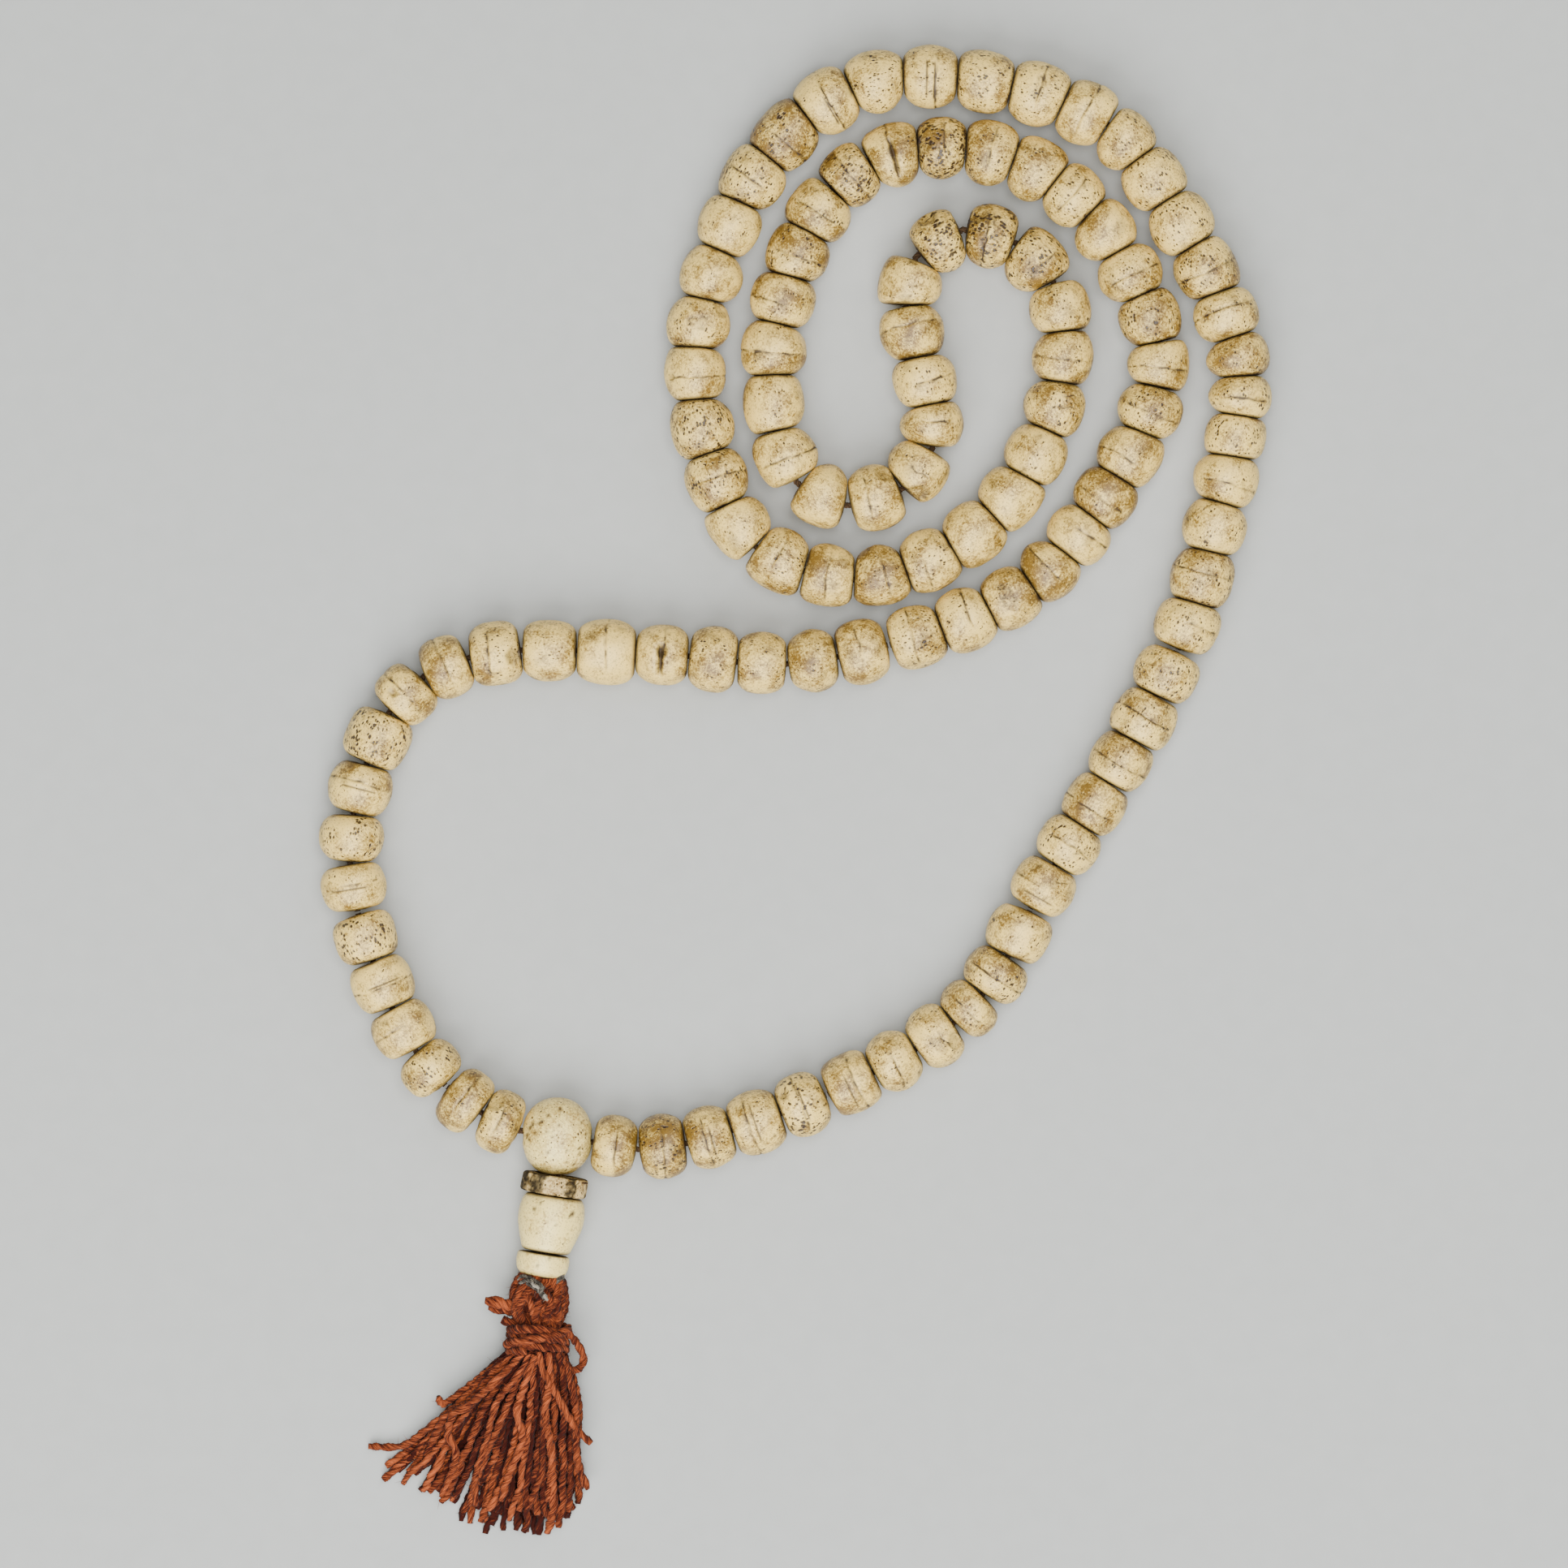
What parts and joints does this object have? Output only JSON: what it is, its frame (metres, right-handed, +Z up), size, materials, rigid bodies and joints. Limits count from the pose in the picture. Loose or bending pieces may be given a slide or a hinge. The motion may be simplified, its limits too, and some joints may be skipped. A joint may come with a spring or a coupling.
{
  "type": "mala prayer beads",
  "caption": "String of round bone prayer beads laid in a loose coil with one free loop, closed by a guru bead over a spacer disc, a barrel bead, an end bead and a yarn tassel.",
  "frame": {"origin": "centre of the bottom of the bounding box, on the table that the beads lie on", "axes": "+Z up from the table; +Y from the tassel towards the top of the coil, along the longest extent; +X to the right, seen from above"},
  "size_m": [0.1437, 0.2252, 0.01],
  "materials": {
    "bone": "turned and worn bone, cream to tan, brown pores and stains, soft sheen",
    "pale_bone": "smooth ivory-coloured bone, faint pores, soft sheen",
    "stained_bone": "bone with dark brown patches, matt",
    "cord_fibre": "twisted dark grey-brown cord, fibrous, matt",
    "knot_thread": "grey and white knotted thread, matt",
    "rust_yarn": "plied rust-brown yarn, soft and matt"
  },
  "bodies": {
    "coil": {"coil_beads_018_026": "bone", "coil_beads_027_035": "bone", "coil_beads_036_044": "bone", "coil_beads_045_053": "bone", "coil_beads_054_062": "bone", "coil_beads_063_071": "bone", "coil_beads_072_080": "bone", "coil_beads_081_088": "bone", "coil_cord": "cord_fibre"},
    "loop_upper": {"upper_cord_right": "cord_fibre", "upper_cord_left": "cord_fibre"},
    "loop_middle": {"middle_cord_right": "cord_fibre", "middle_cord_left": "cord_fibre"},
    "loop_lower": {"lower_cord": "cord_fibre", "guru_bead": "pale_bone"},
    "pendant": {"pendant_cord": "cord_fibre"},
    "spacer_disc": {"spacer_disc": "stained_bone"},
    "barrel_bead": {"barrel_bead": "pale_bone"},
    "end_bead": {"end_bead": "pale_bone"},
    "tassel": {"cord_knot": "knot_thread", "tassel_head": "rust_yarn", "tassel_binding": "rust_yarn", "tassel_skirt": "rust_yarn"},
    "bead_001": {"bead_001": "bone"},
    "bead_002": {"bead_002": "bone"},
    "bead_003": {"bead_003": "bone"},
    "bead_004": {"bead_004": "bone"},
    "bead_005": {"bead_005": "bone"},
    "bead_006": {"bead_006": "bone"},
    "bead_007": {"bead_007": "bone"},
    "bead_008": {"bead_008": "bone"},
    "bead_009": {"bead_009": "bone"},
    "bead_010": {"bead_010": "bone"},
    "bead_011": {"bead_011": "bone"},
    "bead_012": {"bead_012": "bone"},
    "bead_013": {"bead_013": "bone"},
    "bead_014": {"bead_014": "bone"},
    "bead_015": {"bead_015": "bone"},
    "bead_016": {"bead_016": "bone"},
    "bead_017": {"bead_017": "bone"},
    "bead_089": {"bead_089": "bone"},
    "bead_090": {"bead_090": "bone"},
    "bead_091": {"bead_091": "bone"},
    "bead_092": {"bead_092": "bone"},
    "bead_093": {"bead_093": "bone"},
    "bead_094": {"bead_094": "bone"},
    "bead_095": {"bead_095": "bone"},
    "bead_096": {"bead_096": "bone"},
    "bead_097": {"bead_097": "bone"},
    "bead_098": {"bead_098": "bone"},
    "bead_099": {"bead_099": "bone"},
    "bead_100": {"bead_100": "bone"},
    "bead_101": {"bead_101": "bone"},
    "bead_102": {"bead_102": "bone"},
    "bead_103": {"bead_103": "bone"},
    "bead_104": {"bead_104": "bone"},
    "bead_105": {"bead_105": "bone"},
    "bead_106": {"bead_106": "bone"},
    "bead_107": {"bead_107": "bone"},
    "bead_108": {"bead_108": "bone"}
  },
  "joints": [
    {"name": "fold_upper_loop", "type": "hinge", "parent": "coil", "child": "loop_upper", "pos_m": [0.03562, 0.02163, 0.005], "axis": [-0.9998, 0.0188, 0], "range_deg": [0, 15]},
    {"name": "fold_middle_loop", "type": "hinge", "parent": "loop_upper", "child": "loop_middle", "pos_m": [-0.01536, -0.01792, 0.005], "axis": [-1, -0.004, 0], "range_deg": [0, 15]},
    {"name": "fold_lower_loop", "type": "hinge", "parent": "loop_middle", "child": "loop_lower", "pos_m": [-0.02398, -0.04487, 0.005], "axis": [-0.9997, 0.0227, 0], "range_deg": [0, 15]},
    {"name": "pendant_swing", "type": "hinge", "parent": "loop_lower", "child": "pendant", "pos_m": [-0.0361, -0.05755, 0.005], "axis": [0, 0, 1], "range_deg": [-6, 6]},
    {"name": "tassel_swing", "type": "hinge", "parent": "pendant", "child": "tassel", "pos_m": [-0.03859, -0.07325, 0.005], "axis": [0, 0, 1], "range_deg": [-12, 8]},
    {"name": "turn_spacer_disc", "type": "hinge", "parent": "pendant", "child": "spacer_disc", "pos_m": [-0.0361, -0.05755, 0.005], "axis": [0.1564, 0.9877, 0], "continuous": true},
    {"name": "turn_barrel_bead", "type": "hinge", "parent": "pendant", "child": "barrel_bead", "pos_m": [-0.0361, -0.05755, 0.005], "axis": [0.1564, 0.9877, 0], "continuous": true},
    {"name": "turn_end_bead", "type": "hinge", "parent": "pendant", "child": "end_bead", "pos_m": [-0.0361, -0.05755, 0.005], "axis": [0.1564, 0.9877, 0], "continuous": true},
    {"name": "turn_bead_001", "type": "hinge", "parent": "loop_lower", "child": "bead_001", "pos_m": [-0.02743, -0.0532, 0.005], "axis": [0.9875, -0.1578, 0], "continuous": true},
    {"name": "turn_bead_002", "type": "hinge", "parent": "loop_lower", "child": "bead_002", "pos_m": [-0.02003, -0.05331, 0.005], "axis": [0.9926, 0.1216, 0], "continuous": true},
    {"name": "turn_bead_003", "type": "hinge", "parent": "loop_lower", "child": "bead_003", "pos_m": [-0.01297, -0.05188, 0.005], "axis": [0.962, 0.2731, 0], "continuous": true},
    {"name": "turn_bead_004", "type": "hinge", "parent": "loop_lower", "child": "bead_004", "pos_m": [-0.00594, -0.04965, 0.005], "axis": [0.9445, 0.3285, 0], "continuous": true},
    {"name": "turn_bead_005", "type": "hinge", "parent": "loop_lower", "child": "bead_005", "pos_m": [0.00093, -0.04705, 0.005], "axis": [0.9244, 0.3814, 0], "continuous": true},
    {"name": "turn_bead_006", "type": "hinge", "parent": "loop_middle", "child": "bead_006", "pos_m": [0.00834, -0.04374, 0.005], "axis": [0.9012, 0.4334, 0], "continuous": true},
    {"name": "turn_bead_007", "type": "hinge", "parent": "loop_middle", "child": "bead_007", "pos_m": [0.01475, -0.04043, 0.005], "axis": [0.8756, 0.483, 0], "continuous": true},
    {"name": "turn_bead_008", "type": "hinge", "parent": "loop_middle", "child": "bead_008", "pos_m": [0.02075, -0.03676, 0.005], "axis": [0.8271, 0.5621, 0], "continuous": true},
    {"name": "turn_bead_009", "type": "hinge", "parent": "loop_middle", "child": "bead_009", "pos_m": [0.02587, -0.03259, 0.005], "axis": [0.7069, 0.7074, 0], "continuous": true},
    {"name": "turn_bead_010", "type": "hinge", "parent": "loop_middle", "child": "bead_010", "pos_m": [0.02997, -0.02755, 0.005], "axis": [0.5573, 0.8303, 0], "continuous": true},
    {"name": "turn_bead_011", "type": "hinge", "parent": "loop_middle", "child": "bead_011", "pos_m": [0.03342, -0.02139, 0.005], "axis": [0.4243, 0.9055, 0], "continuous": true},
    {"name": "turn_bead_012", "type": "hinge", "parent": "loop_upper", "child": "bead_012", "pos_m": [0.03715, -0.01414, 0.005], "axis": [0.4894, 0.8721, 0], "continuous": true},
    {"name": "turn_bead_013", "type": "hinge", "parent": "loop_upper", "child": "bead_013", "pos_m": [0.0409, -0.00798, 0.005], "axis": [0.5493, 0.8356, 0], "continuous": true},
    {"name": "turn_bead_014", "type": "hinge", "parent": "loop_upper", "child": "bead_014", "pos_m": [0.04485, -0.00191, 0.005], "axis": [0.5422, 0.8403, 0], "continuous": true},
    {"name": "turn_bead_015", "type": "hinge", "parent": "loop_upper", "child": "bead_015", "pos_m": [0.04877, 0.00453, 0.005], "axis": [0.4959, 0.8684, 0], "continuous": true},
    {"name": "turn_bead_016", "type": "hinge", "parent": "loop_upper", "child": "bead_016", "pos_m": [0.05235, 0.01104, 0.005], "axis": [0.4679, 0.8838, 0], "continuous": true},
    {"name": "turn_bead_017", "type": "hinge", "parent": "loop_upper", "child": "bead_017", "pos_m": [0.05559, 0.01754, 0.005], "axis": [0.4233, 0.906, 0], "continuous": true},
    {"name": "turn_bead_089", "type": "hinge", "parent": "loop_upper", "child": "bead_089", "pos_m": [0.00987, 0.02107, 0.005], "axis": [-0.9734, -0.2292, 0], "continuous": true},
    {"name": "turn_bead_090", "type": "hinge", "parent": "loop_upper", "child": "bead_090", "pos_m": [0.00253, 0.01971, 0.005], "axis": [-0.9908, -0.1352, 0], "continuous": true},
    {"name": "turn_bead_091", "type": "hinge", "parent": "loop_upper", "child": "bead_091", "pos_m": [-0.00521, 0.01935, 0.005], "axis": [-0.9991, 0.042, 0], "continuous": true},
    {"name": "turn_bead_092", "type": "hinge", "parent": "loop_upper", "child": "bead_092", "pos_m": [-0.01253, 0.01993, 0.005], "axis": [-0.9933, 0.1159, 0], "continuous": true},
    {"name": "turn_bead_093", "type": "hinge", "parent": "loop_upper", "child": "bead_093", "pos_m": [-0.02021, 0.02057, 0.005], "axis": [-0.9986, 0.0532, 0], "continuous": true},
    {"name": "turn_bead_094", "type": "hinge", "parent": "loop_upper", "child": "bead_094", "pos_m": [-0.0285, 0.021, 0.005], "axis": [-0.9986, 0.0524, 0], "continuous": true},
    {"name": "turn_bead_095", "type": "hinge", "parent": "loop_upper", "child": "bead_095", "pos_m": [-0.037, 0.02127, 0.005], "axis": [-1, 0.0088, 0], "continuous": true},
    {"name": "turn_bead_096", "type": "hinge", "parent": "loop_upper", "child": "bead_096", "pos_m": [-0.04515, 0.02075, 0.005], "axis": [-0.9896, -0.1439, 0], "continuous": true},
    {"name": "turn_bead_097", "type": "hinge", "parent": "loop_upper", "child": "bead_097", "pos_m": [-0.0525, 0.01877, 0.005], "axis": [-0.9208, -0.3901, 0], "continuous": true},
    {"name": "turn_bead_098", "type": "hinge", "parent": "loop_upper", "child": "bead_098", "pos_m": [-0.05865, 0.01457, 0.005], "axis": [-0.6934, -0.7206, 0], "continuous": true},
    {"name": "turn_bead_099", "type": "hinge", "parent": "loop_upper", "child": "bead_099", "pos_m": [-0.06294, 0.00791, 0.005], "axis": [-0.4023, -0.9155, 0], "continuous": true},
    {"name": "turn_bead_100", "type": "hinge", "parent": "loop_upper", "child": "bead_100", "pos_m": [-0.06555, 0.00046, 0.005], "axis": [-0.253, -0.9675, 0], "continuous": true},
    {"name": "turn_bead_101", "type": "hinge", "parent": "loop_upper", "child": "bead_101", "pos_m": [-0.06681, -0.00697, 0.005], "axis": [-0.0748, -0.9972, 0], "continuous": true},
    {"name": "turn_bead_102", "type": "hinge", "parent": "loop_upper", "child": "bead_102", "pos_m": [-0.06651, -0.01425, 0.005], "axis": [0.1619, -0.9868, 0], "continuous": true},
    {"name": "turn_bead_103", "type": "hinge", "parent": "loop_middle", "child": "bead_103", "pos_m": [-0.06463, -0.02208, 0.005], "axis": [0.3016, -0.9534, 0], "continuous": true},
    {"name": "turn_bead_104", "type": "hinge", "parent": "loop_middle", "child": "bead_104", "pos_m": [-0.06215, -0.02891, 0.005], "axis": [0.3754, -0.9269, 0], "continuous": true},
    {"name": "turn_bead_105", "type": "hinge", "parent": "loop_middle", "child": "bead_105", "pos_m": [-0.05899, -0.03563, 0.005], "axis": [0.4801, -0.8772, 0], "continuous": true},
    {"name": "turn_bead_106", "type": "hinge", "parent": "loop_middle", "child": "bead_106", "pos_m": [-0.05504, -0.0414, 0.005], "axis": [0.6544, -0.7561, 0], "continuous": true},
    {"name": "turn_bead_107", "type": "hinge", "parent": "loop_lower", "child": "bead_107", "pos_m": [-0.04977, -0.04642, 0.005], "axis": [0.7915, -0.6112, 0], "continuous": true},
    {"name": "turn_bead_108", "type": "hinge", "parent": "loop_lower", "child": "bead_108", "pos_m": [-0.04455, -0.04954, 0.005], "axis": [0.9138, -0.4061, 0], "continuous": true}
  ]
}
